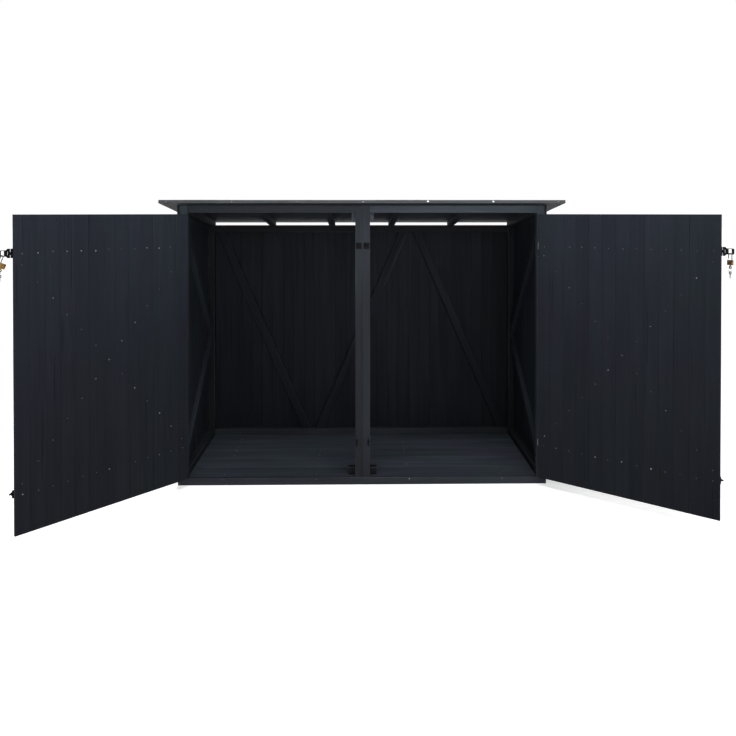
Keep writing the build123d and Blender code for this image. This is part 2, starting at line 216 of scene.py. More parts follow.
def lay_grain(shape, shades):
    """Gives each timber of a mesh its own grain along its longest edge, and a tone in stops.

    The shades are painted light and shade, added in stops at the foot and the head of the mesh."""
    heights = [vert.co.z for vert in shape.verts]
    foot, tall = min(heights), max(heights) - min(heights)
    grain = shape.verts.layers.float_vector.new("grain")
    tone = shape.verts.layers.float.new("tone")
    left = set(shape.verts)
    while left:
        start = min(left, key=lambda v: v.index)
        timber, border = {start}, [start]
        while border:
            for edge in border.pop().link_edges:
                for vert in edge.verts:
                    if vert not in timber:
                        timber.add(vert)
                        border.append(vert)
        left -= timber
        edges = {edge for vert in timber for edge in vert.link_edges}
        along = heading(longest(edges))
        side = heading(longest([e for e in edges if abs(heading(e) @ along) < 0.1]))
        side = (side - along * (side @ along)).normalized()
        middle = sum((vert.co for vert in timber), Vector()) / len(timber)
        shift = Vector((chance.uniform(-9, 9), chance.uniform(-0.05, 0.05), chance.uniform(0.02, 0.07)))
        lightness = chance.uniform(-0.18, 0.18)
        for vert in timber:
            place = vert.co - middle
            vert[grain] = Vector((place @ along, place @ side, place @ along.cross(side))) + shift
            vert[tone] = lightness + shades[0] + (shades[1] - shades[0]) * (vert.co.z - foot) / tall


def set_up(name, data):
    """An object in the scene that holds a mesh, a light or a camera."""
    made = bpy.data.objects.new(name, data)
    bpy.context.scene.collection.objects.link(made)
    return made


def mesh_of(shape, name):
    mesh = bpy.data.meshes.new(name)
    shape.to_mesh(mesh)
    shape.free()
    return mesh


def piece(name, mesh, body, slot, material=None, *stands_for):
    """A finished mesh as a piece that rides on its body; the slot is not used."""
    made = set_up(name, mesh)
    if material:
        mesh.materials.clear()
        mesh.materials.append(material)
    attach(made, body)
    if stands_for:
        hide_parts(*stands_for)


def eased(node, ease, steps=2):
    """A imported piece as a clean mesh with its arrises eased."""
    shape = bmesh.new()
    shape.from_mesh(frame["nodes"][node].data)
    bmesh.ops.remove_doubles(shape, verts=shape.verts, dist=1e-5)
    bmesh.ops.dissolve_limit(shape, angle_limit=radians(1), verts=shape.verts, edges=shape.edges)
    worn = shape.faces.layers.float.new("worn")
    arrises = [e for e in shape.edges if len(e.link_faces) == 2 and e.calc_face_angle() > radians(32)]
    bevelled = bmesh.ops.bevel(shape, geom=arrises, offset=ease, offset_type="OFFSET", segments=steps,
                               profile=0.5, affect="EDGES", clamp_overlap=True)
    for face in bevelled["faces"]:
        face[worn] = 1.0
    return shape


def body_of(node):
    return next(name for name, held in frame["record"]["behaviour"]["bodies"].items() if node in held)


def planed(node, slot, material, shades=(0, 0)):
    """A packed timber, planed, with its arrises eased by sandpaper."""
    shape = eased(node, sanded)
    shape.verts.index_update()
    lay_grain(shape, shades)
    piece(f"{node}_timber", mesh_of(shape, node), body_of(node), slot, material, node)


framing = stained_timber("stained_framing", (0.0137, 0.0157, 0.0198, 1), (0.0268, 0.0306, 0.0376, 1))
# The floor's stain is lighter than the framing's: painted light on the floor inside the shelter.
floor_stain_and_painted_light = stained_timber("stained_floor", (0.0205, 0.0248, 0.0320, 1), (0.0410, 0.0480, 0.0592, 1), 0.10)

# The sills, end rails and bearers sit 0.3 stops darker: painted shade.
for node in ("front_sill", "back_sill", "floor_end_rails", "floor_bearers"):
    planed(node, "floor_timber", framing, (-0.3, -0.3))

# Floor boards
# Five wide tongued and grooved boards that run from side to side, nailed down to every bearer. One
# section of board is drawn, and a tree lays it side by side with its own tone and grain each time.

tongue = 0.005
groove = 0.0054
joint_gap = 0.0007
arris = 0.0007
half_root, half_tip, half_groove = 0.0018, 0.0015, 0.0020
groove_floor, tongue_tip, eased_sides = (12, 13), (4, 5), (1, 7, 9, 15)     # places in the outline
half_board = 0.006             # half the thickness of a wall board, where inside becomes outside
floor_planks = 5


def board_section(width, thick):
    """One board of unit length along X, with a groove, a tongue and eased arrises."""
    w, t, mid = width - joint_gap, thick, thick / 2
    outline = [(arris, 0), (w - arris, 0), (w, arris), (w, mid - half_root), (w + tongue, mid - half_tip),
               (w + tongue, mid + half_tip), (w, mid + half_root), (w, t - arris), (w - arris, t),
               (arris, t), (0, t - arris), (0, mid + half_groove), (groove, mid + half_groove),
               (groove, mid - half_groove), (0, mid - half_groove), (0, arris)]
    shape = bmesh.new()
    worn = shape.faces.layers.float.new("worn")
    trim_first = shape.verts.layers.float.new("trim_first")
    trim_last = shape.verts.layers.float.new("trim_last")
    ends = [[shape.verts.new((x, y, z)) for y, z in outline] for x in (0, 1)]
    for ring in ends:
        for place in groove_floor:
            ring[place][trim_first] = -groove
        for place in tongue_tip:
            ring[place][trim_last] = -tongue
    shape.faces.new(ends[0][::-1])
    shape.faces.new(ends[1])
    for k in range(len(outline)):
        after = (k + 1) % len(outline)
        side = shape.faces.new((ends[0][k], ends[0][after], ends[1][after], ends[1][k]))
        if k in eased_sides:
            side[worn] = 0.35
    bmesh.ops.recalc_face_normals(shape, faces=shape.faces)
    return mesh_of(shape, "board")


def new_tree(name, inputs):
    """An empty geometry tree with one output and these named inputs."""
    tree = bpy.data.node_groups.new(name, "GeometryNodeTree")
    tree.interface.new_socket(name="Geometry", in_out="INPUT", socket_type="NodeSocketGeometry")
    for label, kind, value in inputs:
        socket = tree.interface.new_socket(name=label, in_out="INPUT", socket_type=f"NodeSocket{kind}")
        if value is not None:
            socket.default_value = value
    tree.interface.new_socket(name="Geometry", in_out="OUTPUT", socket_type="NodeSocketGeometry")
    return tree, tree.nodes.new("NodeGroupInput").outputs


def chosen(tree, low, high, seed, apart):
    """A random vector for each instance, between two corners."""
    own_seed = maths(tree, "ADD", seed, apart)
    return out(tree, "FunctionNodeRandomValue", {0: low, 1: high, "Seed": own_seed},
               data_type="FLOAT_VECTOR")


def kept_as(tree, geometry, name, value, kind="FLOAT_VECTOR", domain="POINT"):
    made = add(tree, "GeometryNodeStoreNamedAttribute", {"Geometry": geometry, "Name": name},
               data_type=kind, domain=domain)
    tree.links.new(value, made.inputs["Value"])
    return made.outputs[0]


def named(tree, name, kind="FLOAT"):
    return out(tree, "GeometryNodeInputNamedAttribute", {"Name": name}, data_type=kind)


def swayed(tree, row, given, low, high):
    """Points moved at random between two corners, which are given in shares of the wander."""
    sway = scaled(tree, chosen(tree, low, high, given["Seed"], 0), given["Wander"])
    return out(tree, "GeometryNodeSetPosition", {"Geometry": row, "Offset": sway})


def ended(tree, row, material):
    """Gives the tree's geometry its material and its way out."""
    row = out(tree, "GeometryNodeSetMaterial", {"Geometry": row, "Material": material})
    add(tree, "NodeGroupOutput", {0: row})
    return tree


tree, given = new_tree("board row", [
    ("Boards", "Int", 5), ("Pitch", "Float", 0.065), ("Length", "Float", 1.0),
    ("Far length", "Float", 1.0), ("Wander", "Float", 0.0003), ("Shades", "Float", 0.18),
    ("Outside", "Float", 0.0), ("Seed", "Int", 0), ("Stain", "Material", None)])
step = out(tree, "ShaderNodeCombineXYZ", {"Y": given["Pitch"]})
row = out(tree, "GeometryNodeMeshLine", {"Count": given["Boards"], "Offset": step})
row = swayed(tree, row, given, (0, -1, -1), (0, 1, 0))
row = out(tree, "GeometryNodeInstanceOnPoints", {"Points": row, "Instance": given["Geometry"]})
shift = chosen(tree, (-9, -0.06, 0.02), (9, 0.06, 0.09), given["Seed"], 1)
row = kept_as(tree, row, "shift", shift, domain="INSTANCE")
lightness = add(tree, "FunctionNodeRandomValue", {2: maths(tree, "MULTIPLY", given["Shades"], -1.0),
                                                  3: given["Shades"],
                                                  "Seed": maths(tree, "ADD", given["Seed"], 2)})
row = kept_as(tree, row, "tone", lightness.outputs[1], "FLOAT", "INSTANCE")
row = kept_as(tree, row, "place", out(tree, "GeometryNodeInputIndex"), "FLOAT", "INSTANCE")
row = out(tree, "GeometryNodeRealizeInstances", {"Geometry": row})
position = out(tree, "GeometryNodeInputPosition")
at = add(tree, "ShaderNodeSeparateXYZ", {0: position}).outputs
place = named(tree, "place")
share = maths(tree, "DIVIDE", at[1], maths(tree, "MULTIPLY", given["Boards"], given["Pitch"]))
longer = maths(tree, "SUBTRACT", given["Far length"], given["Length"])
length = maths(tree, "MULTIPLY_ADD", share, longer, given["Length"])
first = maths(tree, "COMPARE", place, 0.0, 0.1)
last = maths(tree, "COMPARE", place, maths(tree, "SUBTRACT", given["Boards"], 1.0), 0.1)
trim = maths(tree, "MULTIPLY", first, named(tree, "trim_first"))
trim = maths(tree, "MULTIPLY_ADD", last, named(tree, "trim_last"), trim)
stretched = add(tree, "ShaderNodeCombineXYZ", {0: maths(tree, "MULTIPLY", at[0], length),
                                               1: maths(tree, "ADD", at[1], trim), 2: at[2]})
row = out(tree, "GeometryNodeSetPosition", {"Geometry": row, "Position": stretched.outputs[0]})
row = out(tree, "GeometryNodeMergeByDistance", {"Geometry": row, "Distance": 2e-5})
back = maths(tree, "MULTIPLY", maths(tree, "MULTIPLY", place, given["Pitch"]), -1.0)
own = vectors(tree, "ADD", position, named(tree, "shift", "FLOAT_VECTOR"))
own = vectors(tree, "ADD", own, out(tree, "ShaderNodeCombineXYZ", {1: back}))
row = kept_as(tree, row, "grain", own)
# The show face is lighter by Outside stops; the inner face keeps the darker stain, painted shade inside.
outside = maths(tree, "MULTIPLY", maths(tree, "GREATER_THAN", at[2], half_board), given["Outside"])
row = kept_as(tree, row, "tone", maths(tree, "ADD", named(tree, "tone"), outside), "FLOAT")
board_row = ended(tree, row, given["Stain"])


def settled(carrier):
    """The plain mesh of an object with its modifiers applied, and the object gone."""
    held = bpy.context.evaluated_depsgraph_get()
    mesh = bpy.data.meshes.new_from_object(carrier.evaluated_get(held), preserve_all_data_layers=True,
                                           depsgraph=held)
    bpy.data.objects.remove(carrier)
    return mesh


def grown(seed_mesh, tree, **settings):
    """The plain mesh that a tree makes of a small one with these inputs."""
    carrier = set_up("carrier", seed_mesh)
    modifier = carrier.modifiers.new("tree", "NODES")
    modifier.node_group = tree
    for socket in tree.interface.items_tree:
        key = socket.name.replace(" ", "_").lower()
        if socket.in_out == "INPUT" and key in settings:
            modifier[socket.identifier] = settings[key]
    return settled(carrier)


def placed(mesh, origin, right, up):
    """Moves a mesh drawn flat to a surface: its X to the right, its Y up and its Z outwards."""
    right, up = right.normalized(), up.normalized()
    turn = Matrix((right, up, right.cross(up))).transposed().to_4x4()
    mesh.transform(Matrix.Translation(origin) @ turn)
    return mesh


def boarding(count, width, length, thick, seed, stain, far_length=None, shades=0.18, outside=0.0):
    """Boards side by side from the origin: their length along X, their show face up.

    Outside is how many stops lighter the show face is than the inner face, whose darker stain is painted
    shade inside the shelter."""
    pitch = width / count
    return grown(board_section(pitch, thick), board_row, boards=count, pitch=pitch, length=length,
                 far_length=far_length or length, shades=shades, outside=outside, seed=seed,
                 stain=stain)


low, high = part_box("floor_boards")
floor_boards = boarding(floor_planks, high.y - low.y, high.x - low.x, high.z - low.z, 3, floor_stain_and_painted_light)
placed(floor_boards, low, X, Y)
piece("floor_board_row", floor_boards, "shelter", "floor_timber", None, "floor_boards")

# Nails
# Round wire nails with flat heads, driven flush by hand, so that a few wander, sit deeper or have
# gone missing. A tree sets out each row between two points on the face of the timber.


def smoothed(mesh, degrees):
    """Shades a mesh smooth, but for the edges that bend more than this."""
    mesh.shade_smooth()
    mesh.set_sharp_from_angle(angle=radians(degrees))
    return mesh


def lathe(profile, steps=10):
    """A turned solid from points of radius and height that start and end on the axis, or meet."""
    shape = bmesh.new()
    rings = []
    for radius, height in profile:
        turns = [2 * pi * k / steps for k in range(steps if radius else 1)]
        rings.append([shape.verts.new((radius * cos(turn), radius * sin(turn), height)) for turn in turns])
    for below, above in zip(rings, rings[1:]):
        for k in range(steps):
            after = (k + 1) % steps
            corners = [below[k % len(below)], below[after % len(below)],
                       above[after % len(above)], above[k % len(above)]]
            shape.faces.new(list(dict.fromkeys(corners)))
    bmesh.ops.remove_doubles(shape, verts=shape.verts, dist=1e-7)
    bmesh.ops.recalc_face_normals(shape, faces=shape.faces)
    return smoothed(mesh_of(shape, "turned"), 35)


tree, given = new_tree("nail row", [
    ("Nails", "Int", 7), ("Start", "Vector", (0, 0, 0)), ("End", "Vector", (1, 0, 0)),
    ("Wander", "Float", 0.0015), ("Missing", "Float", 0.0), ("Seed", "Int", 0),
    ("Steel", "Material", None)])
gaps = maths(tree, "MAXIMUM", maths(tree, "SUBTRACT", given["Nails"], 1.0), 1.0)
step = scaled(tree, vectors(tree, "SUBTRACT", given["End"], given["Start"]),
              maths(tree, "DIVIDE", 1.0, gaps))
row = out(tree, "GeometryNodeMeshLine", {"Count": given["Nails"], "Start Location": given["Start"],
                                         "Offset": step})
row = swayed(tree, row, given, (-1, -1, -0.12), (1, 1, 0.0))
gone = add(tree, "FunctionNodeRandomValue", {"Probability": given["Missing"], "Seed": given["Seed"]},
           data_type="BOOLEAN").outputs[3]
row = out(tree, "GeometryNodeDeleteGeometry", {"Geometry": row, "Selection": gone})
row = out(tree, "GeometryNodeInstanceOnPoints", {"Points": row, "Instance": given["Geometry"]})
lightness = add(tree, "FunctionNodeRandomValue", {"Seed": maths(tree, "ADD", given["Seed"], 1)})
row = kept_as(tree, row, "tone", lightness.outputs[1], "FLOAT", "INSTANCE")
row = out(tree, "GeometryNodeRealizeInstances", {"Geometry": row})
nail_row = ended(tree, row, given["Steel"])

sunk = -0.001                  # the foot of every head, in the face below it
nail_radius = 0.0021


def fixing_head(profile, steps=10):
    """The head of a nail or screw, from the rim of its foot up to its crown on the axis."""
    rim = profile[0][0]
    return lathe([(0, sunk), (rim, sunk), *profile], steps)


nail_head = fixing_head([(nail_radius, 0.0003), (nail_radius * 0.8, 0.0007), (0, 0.0008)])

nail_steel, tree, surface = finish("nail_steel", Metallic=0.9)
spots = noise(tree, own_place(tree), (420, 420, 420), 2.0)
clean = maths(tree, "POWER", attribute(tree, "tone"), 4.0)
bright = blended(tree, clean, (0.09, 0.09, 0.095, 1), (0.66, 0.66, 0.68, 1))
feed(tree, surface, blended(tree, ramp(tree, spots, 0.55, 0.75), bright, (0.20, 0.14, 0.10, 1)),
     ramp(tree, spots, 0.3, 0.7, 0.35, 0.6))


def row_of(start, end, count, seed, origin, right, up, wander=0.0015, missing=0.0, head=nail_head,
           metal=nail_steel):
    """A row of nails or screws between two points on a surface, given in its own right and up."""
    row = grown(head, nail_row, nails=count, start=(*start, 0), end=(*end, 0), wander=wander,
                missing=missing, seed=seed, steel=metal)
    return placed(row, origin, right, up)


def joined(name, meshes, body, slot):
    """Several meshes as one piece."""
    parts = [set_up(name, mesh) for mesh in meshes]
    with bpy.context.temp_override(active_object=parts[0], selected_editable_objects=parts):
        bpy.ops.object.join()
    mesh = parts[0].data
    bpy.data.objects.remove(parts[0])
    mesh.name = name
    piece(name, mesh, body, slot)


stud = 0.038                   # width of the frame's timbers and the bearers
bearer_rise = 0.030            # from the ground to the nail that holds a bearer's end
corner_inset, corner_rises = 0.008, (0.012, 0.028)

low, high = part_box("floor_boards")
pitch = (high.y - low.y) / floor_planks
bearer_low, bearer_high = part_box("floor_bearers")
bearers = [bearer_low.x + stud / 2 + k * (bearer_high.x - bearer_low.x - stud) / 3 for k in range(4)]
floor_nails = [row_of((x, low.y + pitch * share), (x, high.y - pitch * (1 - share)), floor_planks,
                      k + int(share * 10), Vector((0, 0, high.z)), X, Y, missing=0.05)
               for k, x in enumerate(bearers) for share in (0.2, 0.8)]
joined("floor_nails", floor_nails, "shelter", "galvanised_steel")

low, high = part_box("front_sill")
sill_nails = [row_of((x, bearer_rise), (x, bearer_rise), 1, k, Vector((0, low.y, 0)), X, Z)
              for k, x in enumerate(bearers)]
sill_nails += [row_of((x, corner_rises[0]), (x, corner_rises[1]), 2, 9, Vector((0, low.y, 0)), X, Z)
               for x in (low.x + corner_inset, high.x - corner_inset)]
low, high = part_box("back_sill")
sill_nails += [row_of((-x, bearer_rise), (-x, bearer_rise), 1, k, Vector((0, high.y, 0)), -X, Z)
               for k, x in enumerate(bearers)]
joined("sill_nails", sill_nails, "shelter", "galvanised_steel")

# Posts and rails
# Square spruce framing: corner posts, a centre post in two halves that the doors close against, and
# rails between them. Butt joints, nailed from outside. The post tops are cut to the roof's fall.

# Tones in stops at the foot and the head are painted light and shade: lighter where light falls from above and the
# right, darker inside the shelter and at the foot of the centre post and stop blocks.
for node, shades in (("front_post_left", (0.0, 1.0)), ("front_post_right", (-0.1, 0.9)),
                     ("centre_post_left", (-1.1, 0.1)), ("centre_post_right", (-1.1, 0.3)),
                     ("head_rail_left", (0.1, 0.1)), ("head_rail_right", (0.9, 0.9)),
                     ("back_post_left", (-1.8, -1.8)), ("back_post_right", (-1.8, -1.8)),
                     ("back_top_rail", (-1.7, -1.7)), ("back_bottom_rail", (-0.5, -0.5)),
                     ("side_bottom_rails", (-0.8, -0.8)), ("side_top_rails", (-0.8, -0.8)),
                     ("stop_blocks", (-2.0, 1.6))):
    planed(node, "frame_timber", framing, shades)

# Walls
# Upright tongued and grooved boards outside the frame, cut to the roof's fall at the sides. The back
# stops short of the roof, so that air passes between the rafters.

# The walls' stains are far darker than the framing's: painted shade inside the shelter. The show faces are set
# lighter outside by so many stops.
wall_stain_and_painted_shade = stained_timber("stained_walls", (0.0025, 0.0031, 0.0049, 1), (0.0052, 0.0064, 0.0096, 1))
side_stain_and_painted_shade = stained_timber("stained_sides", (0.0080, 0.0098, 0.0130, 1), (0.0160, 0.0190, 0.0245, 1))
low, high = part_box("left_wall")
thick = high.x - low.x


def top_at(node, depth):
    """Height of the top of a node at a depth."""
    return max(v.co.z for v in frame["nodes"][node].data.vertices if abs(v.co.y - depth) < 1e-4)


front_top, back_top = top_at("left_wall", low.y), top_at("left_wall", high.y)
front_length, back_length = front_top - low.z, back_top - low.z
right_low, right_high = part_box("right_wall")
side_boards, back_boards = 12, 29
for word, seed, near_length, far_length, corner, across in (
        ("left", 21, front_length, back_length, Vector((high.x, low.y, low.z)), Y),
        ("right", 22, back_length, front_length, Vector((right_low.x, high.y, low.z)), -Y)):
    wall = boarding(side_boards, high.y - low.y, near_length, thick, seed, side_stain_and_painted_shade, far_length,
                    outside=0.3)
    placed(wall, corner, Z, across)
    piece(f"{word}_wall_boards", wall, "shelter", "wall_boards", None, f"{word}_wall")

back_low, back_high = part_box("back_wall")
back_wall = boarding(back_boards, back_high.x - back_low.x, back_high.z - back_low.z, thick, 23,
                     wall_stain_and_painted_shade, outside=1.6)
placed(back_wall, back_low, Z, X)
piece("back_wall_boards", back_wall, "shelter", "wall_boards", None, "back_wall")

# The braces take the walls' darker stains, painted shade inside, a tenth of a stop lighter.
for node, stain in (("back_braces", wall_stain_and_painted_shade), ("left_wall_braces", side_stain_and_painted_shade),
                    ("right_wall_braces", side_stain_and_painted_shade)):
    planed(node, "frame_timber", stain, (0.1, 0.1))

end_nail = (high.y - low.y) / side_boards / 2
first_nail, last_nail = low.y + end_nail, high.y - end_nail
rail_low, rail_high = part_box("side_bottom_rails")
brace_low, brace_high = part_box("left_wall_braces")
meeting = [v.co.z for v in frame["nodes"]["left_wall_braces"].data.vertices
           if v.co.y > brace_high.y - 1e-4]
brace_meet = sum(meeting) / len(meeting)
front_drop, back_drop = 0.028, 0.022           # from the walls' tops to the nails of the top rails
brace_inset, brace_head = 0.030, 0.040         # from the ends of a brace to its first and last nail
by_hand = 0.003, 0.06                          # how far nails wander, and the share that is missing
side_rows = [((rail_low.z + rail_high.z) / 2,) * 2,
             (front_top - front_drop, back_top - back_drop),
             (brace_low.z + brace_inset, brace_meet - brace_inset),
             (brace_high.z - brace_head, brace_meet + brace_inset)]
wall_nails = []
for k, (near_z, far_z) in enumerate(side_rows):
    for way, seed, face_x in ((-1, 40, low.x), (1, 50, right_high.x)):
        wall_nails.append(row_of((way * first_nail, near_z), (way * last_nail, far_z), side_boards,
                                 seed + k, Vector((face_x, 0, 0)), Y * way, Z, *by_hand))
wall_back = Vector((0, back_high.y, 0))
end_nail = back_high.x - (back_high.x - back_low.x) / back_boards / 2
for k, (rail, rise) in enumerate((("back_top_rail", 0.017), ("back_bottom_rail", stud / 2))):
    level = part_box(rail)[0].z + rise
    wall_nails.append(row_of((-end_nail, level), (end_nail, level), back_boards, 60 + k, wall_back, -X, Z,
                             *by_hand))
post_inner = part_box("back_post_right")[0].x
half_bay = post_inner / 3
brace_low, brace_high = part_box("back_braces")
brace_end = 0.04
for k, (foot_x, head_x) in enumerate(((-half_bay - brace_end, -post_inner + brace_end),
                                      (-half_bay + brace_end, half_bay - brace_end),
                                      (post_inner - brace_end, half_bay + brace_end))):
    wall_nails.append(row_of((-foot_x, brace_low.z + brace_end), (-head_x, brace_high.z - brace_end), 9,
                             70 + k, wall_back, -X, Z, 0.004, 0.06))
joined("wall_nails", wall_nails, "shelter", "galvanised_steel")

# Rafters and roof boards
# Four short rafters from the front frame to the back, and tongued and grooved boards across them
# that stand out past the walls on every side.

roof_stain = stained_timber("stained_roof", (0.0100, 0.0115, 0.0145, 1), (0.0210, 0.0240, 0.0290, 1))
planed("rafters", "roof_timber", roof_stain)

roof_mesh = frame["nodes"]["roof_boards"].data
roof_up = max((p for p in roof_mesh.polygons if p.normal.z > 0.5), key=lambda p: p.area).normal.copy()
down_roof = roof_up.cross(X)
eaves = min((v.co.copy() for v in roof_mesh.vertices), key=lambda co: (round(co.y, 5), co.x))
corners = [v.co - eaves for v in roof_mesh.vertices]
roof_length = max(corner @ down_roof for corner in corners)
roof_width = max(corner.x for corner in corners)
roof_thick = max(corner @ roof_up for corner in corners)
roof_boards = boarding(9, roof_length, roof_width, roof_thick, 31, roof_stain)
placed(roof_boards, eaves, X, down_roof)
piece("roof_board_row", roof_boards, "shelter", "roof_timber", None, "roof_boards")

# Roof felt
# One width of bitumen felt with slate-grey mineral grains, turned down over the edges of the boards
# and held by large galvanised clout nails through the turned edge.

felt_thick = 0.0025
felt_bend = 0.004
half_bent = felt_bend * 0.3
felt, tree, surface = finish("mineral_felt", **{"Specular IOR Level": 0.25})
place = own_place(tree)
grains = add(tree, "ShaderNodeTexVoronoi", {"Vector": place, "Scale": 620.0})
speck = out(tree, "ShaderNodeSeparateColor", {0: grains.outputs["Color"]})
stains = noise(tree, place, (2.0, 6.0, 6.0), 4.0)
colour = blended(tree, speck, (0.034, 0.037, 0.040, 1), (0.084, 0.090, 0.096, 1))
colour = blended(tree, ramp(tree, stains, 0.35, 0.7), colour, (0.040, 0.043, 0.045, 1))
height = maths(tree, "MULTIPLY_ADD", grains.outputs["Distance"], -1.0, stains)
feed(tree, surface, colour, ramp(tree, speck, 0, 1, 0.82, 0.95), height, relief=0.0010, strength=0.8)


def felt_lines(span, cells):
    """Where the lines of the sheet's grid lie along one side, with three at each turned edge."""
    inside = [felt_bend + (span - 2 * felt_bend) * k / cells for k in range(cells + 1)]
    return [0, 0, half_bent, *inside, span - half_bent, span, span]


def felt_sheet(length, width, drop):
    """The sheet with its turned edges, drawn flat over the boards, as a skin to be thickened."""
    shape = bmesh.new()
    across, along = felt_lines(width, cells=60), felt_lines(length, cells=28)

    def fallen(place, count):
        """How far a row near the edge has turned down."""
        from_edge = min(place, count - 1 - place)
        return (drop, felt_bend, half_bent)[from_edge] if from_edge < 3 else 0.0

    grid = []
    for j, y in enumerate(along):
        line = []
        for i, x in enumerate(across):
            fall = max(fallen(i, len(across)), fallen(j, len(along)))
            ripple = 0.0005 * sin(9 * x + 2.1 * sin(7 * y)) * sin(11 * y + 1.7 * sin(4 * x))
            ripple -= 0.0004 if (i + j) % 2 else 0.0
            at = Vector((x, y, -fall))
            if fall == 0:
                at.z += ripple - 0.0005
            elif fall == drop:
                at.z += 0.0010 * abs(sin(8 * x + 5 * y))
            line.append(shape.verts.new(at))
        grid.append(line)
    for j in range(len(along) - 1):
        for i in range(len(across) - 1):
            shape.faces.new((grid[j][i], grid[j][i + 1], grid[j + 1][i + 1], grid[j + 1][i]))
    bmesh.ops.remove_doubles(shape, verts=shape.verts, dist=2e-5)
    bmesh.ops.dissolve_degenerate(shape, dist=1e-5, edges=shape.edges)
    return mesh_of(shape, "felt")


def finished(mesh, kind, **settings):
    """The mesh with a modifier of this kind applied."""
    carrier = set_up("carrier", mesh)
    modifier = carrier.modifiers.new(kind.lower(), kind)
    for key, value in settings.items():
        setattr(modifier, key, value)
    return settled(carrier)


def cut_out(mesh, cutter):
    """The mesh with another taken out of it."""
    tool = set_up("cutter", cutter)
    made = finished(mesh, "BOOLEAN", object=tool, operation="DIFFERENCE", solver="EXACT", use_self=True)
    bpy.data.objects.remove(tool)
    return made


full_width, full_length = roof_width + 2 * felt_thick, roof_length + 2 * felt_thick
sheet = felt_sheet(full_length, full_width, roof_thick + felt_thick)
sheet = smoothed(finished(sheet, "SOLIDIFY", thickness=felt_thick, offset=-1.0), 50)
felt_corner = eaves - (X + down_roof) * felt_thick + roof_up * (roof_thick + felt_thick)
placed(sheet, felt_corner, X, down_roof)
piece("roof_felt_sheet", sheet, "shelter", "roof_felt", felt, "roof_felt")

clout_head = fixing_head([(0.0048, 0.0006), (0.0040, 0.0013), (0, 0.0015)], 12)
clout_inset = 0.037
edge_middle = felt_corner - roof_up * (roof_thick + felt_thick) * 0.55
across, along = X * full_width, down_roof * full_length
clouts = [row_of((clout_inset, 0), (side - clout_inset, 0), count, seed, edge_middle + corner, right,
                 roof_up, head=clout_head)
          for seed, side, count, corner, right in ((81, full_width, 7, Vector(), X),
                                                   (82, full_width, 7, across + along, -X),
                                                   (83, full_length, 4, along, -down_roof),
                                                   (84, full_length, 4, across, down_roof))]
joined("felt_clouts", clouts, "shelter", "galvanised_steel")

# Door leaves
# Thirteen upright tongued and grooved boards, nailed from the inside to two ledges and a cross of
# braces on the outside. Each leaf is drawn closed and then turned about its pins to where it stands.

# The doors' stain grows lighter towards the head and darker at the foot: painted light from above.
door_stain_and_painted_light = stained_timber("stained_doors", (0.0053, 0.0066, 0.0100, 1), (0.0119, 0.0142, 0.0196, 1),
                            painted_light_by_height=(-0.70, 0.62), figure=0.45)
door_boards = 13
cross_inset = 0.012            # from a ledge to where the cross of nails starts
pins, swings = {}, {}
for joint in frame["joints"]:
    word, moving = joint["child"].split("_", 1)
    if moving == "door":
        pins[word] = Vector(joint["pos_m"])
        pin = Matrix.Translation(pins[word])
        turn = Matrix.Rotation(-radians(joint["range_deg"][0]), 4, Vector(joint["axis"]))
        swings[word] = pin @ turn @ pin.inverted()


def closed_box(node):
    """Lowest and highest corner of a node of a door, with the door closed."""
    back = swings[node.split("_")[0]].inverted()
    points = [back @ v.co for v in frame["nodes"][node].data.vertices]
    return (Vector(min(p[k] for p in points) for k in range(3)),
            Vector(max(p[k] for p in points) for k in range(3)))


def closed_level(node):
    """Middle height of a node of a door."""
    return sum(corner.z for corner in closed_box(node)) / 2


def hung(name, rows, slot):
    """Rows of nails or screws drawn on the closed door, as one piece of the door where it stands."""
    word = name.split("_")[0]
    for row in rows:
        row.transform(swings[word])
    joined(name, rows, f"{word}_door", slot)


for word, seed in (("left", 101), ("right", 131)):
    low, high = closed_box(f"{word}_door_boards")
    boards = boarding(door_boards, high.x - low.x, high.z - low.z, high.y - low.y, seed, door_stain_and_painted_light,
                      shades=0.09)
    placed(boards, low, Z, X).transform(swings[word])
    piece(f"{word}_door_board_row", boards, f"{word}_door", "door_boards", None, f"{word}_door_boards")
    for node in ("top_ledge", "bottom_ledge", "door_long_brace", "door_short_braces"):
        planed(f"{word}_{node}", "frame_timber", framing)

    end_nail = (high.x - low.x) / door_boards / 2
    left_x, right_x = low.x + end_nail, high.x - end_nail
    top_row, bottom_row = closed_level(f"{word}_top_ledge"), closed_level(f"{word}_bottom_ledge")
    cross_top = closed_box(f"{word}_top_ledge")[0].z - cross_inset
    cross_bottom = closed_box(f"{word}_bottom_ledge")[1].z + cross_inset
    rows = ((top_row, top_row), (bottom_row, bottom_row), (cross_top, cross_bottom),
            (cross_bottom, cross_top))
    nails = [row_of((-left_x, left_z), (-right_x, right_z), door_boards, seed + k,
                    Vector((0, high.y, 0)), -X, Z, 0.003, 0.04)
             for k, (left_z, right_z) in enumerate(rows)]
    hung(f"{word}_door_nails", nails, "galvanised_steel")

# Strap hinges
# Galvanised steel straps, hammered round the pin at the root and tapered to the tip, held by coach
# bolts and screws. The other half is a plate on the corner post with two knuckles, which was stained
# over with the post.

zinc, tree, surface = finish("galvanised_steel", Metallic=0.85)
place = own_place(tree)
spangle = add(tree, "ShaderNodeTexVoronoi", {"Vector": place, "Scale": 210.0})
flake = out(tree, "ShaderNodeSeparateColor", {0: spangle.outputs["Color"]})
dull = noise(tree, place, (40, 40, 40), 4.0)
colour = blended(tree, flake, (0.36, 0.37, 0.38, 1), (0.52, 0.53, 0.54, 1))
colour = blended(tree, ramp(tree, dull, 0.5, 0.75), colour, (0.30, 0.30, 0.29, 1))
feed(tree, surface, colour, ramp(tree, dull, 0.3, 0.7, 0.36, 0.62), dull, relief=0.0002)

